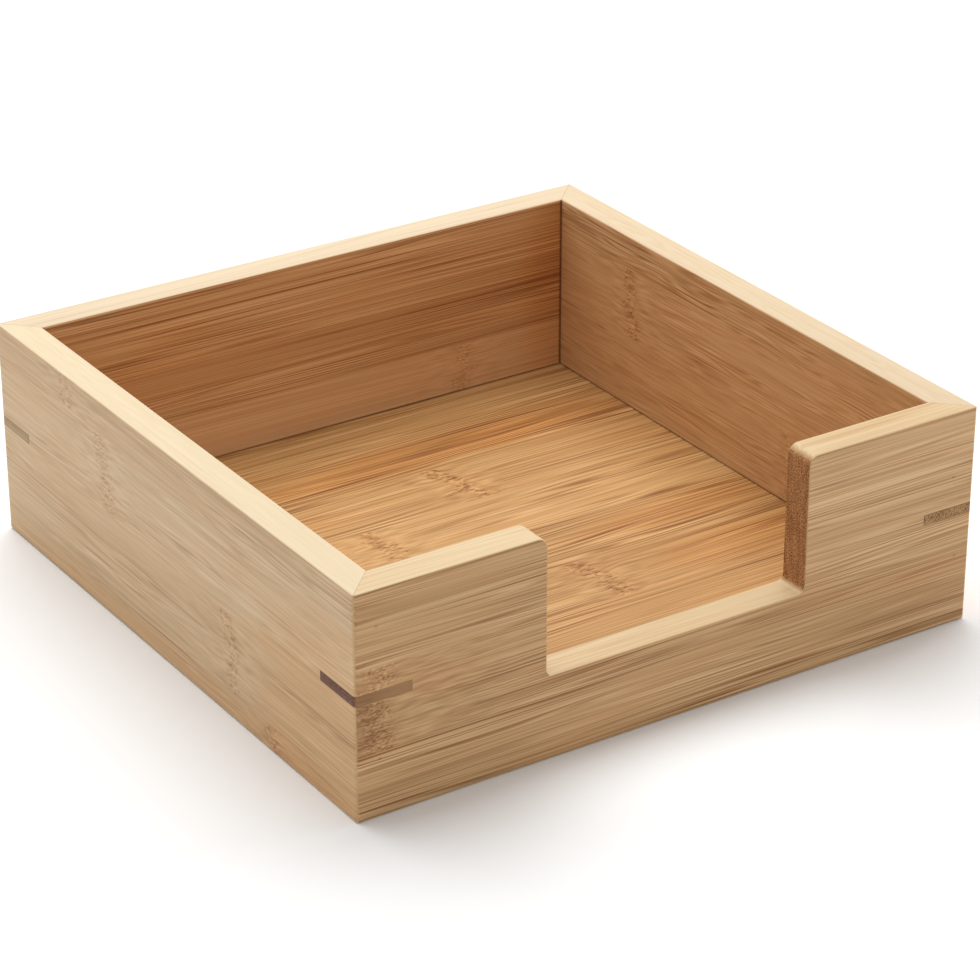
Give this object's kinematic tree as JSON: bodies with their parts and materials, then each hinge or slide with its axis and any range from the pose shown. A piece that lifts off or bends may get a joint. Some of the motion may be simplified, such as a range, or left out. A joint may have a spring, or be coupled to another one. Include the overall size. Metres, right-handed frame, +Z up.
{
  "type": "open napkin tray",
  "caption": "Open square wooden tray for folded napkins, with mitred and keyed corners, a grooved-in base and a notched front.",
  "frame": {"origin": "middle of the footprint, on the surface the tray stands on", "axes": "+Z up; -Y towards the notched front; +X to the right as seen from the front"},
  "size_m": [0.19, 0.1882, 0.0627],
  "materials": {
    "bamboo_front_wall": "satin",
    "bamboo_back_wall": "satin",
    "bamboo_left_wall": "satin",
    "bamboo_right_wall": "satin",
    "bamboo_base_panel": "satin",
    "bamboo_front_left_key": "satin",
    "bamboo_front_right_key": "satin",
    "bamboo_back_left_key": "satin",
    "bamboo_back_right_key": "satin"
  },
  "bodies": {
    "root": {"front_wall": "bamboo_front_wall", "back_wall": "bamboo_back_wall", "left_wall": "bamboo_left_wall", "right_wall": "bamboo_right_wall", "base_panel": "bamboo_base_panel", "front_left_mitre_key": "bamboo_front_left_key", "front_right_mitre_key": "bamboo_front_right_key", "back_left_mitre_key": "bamboo_back_left_key", "back_right_mitre_key": "bamboo_back_right_key"}
  },
  "joints": []
}
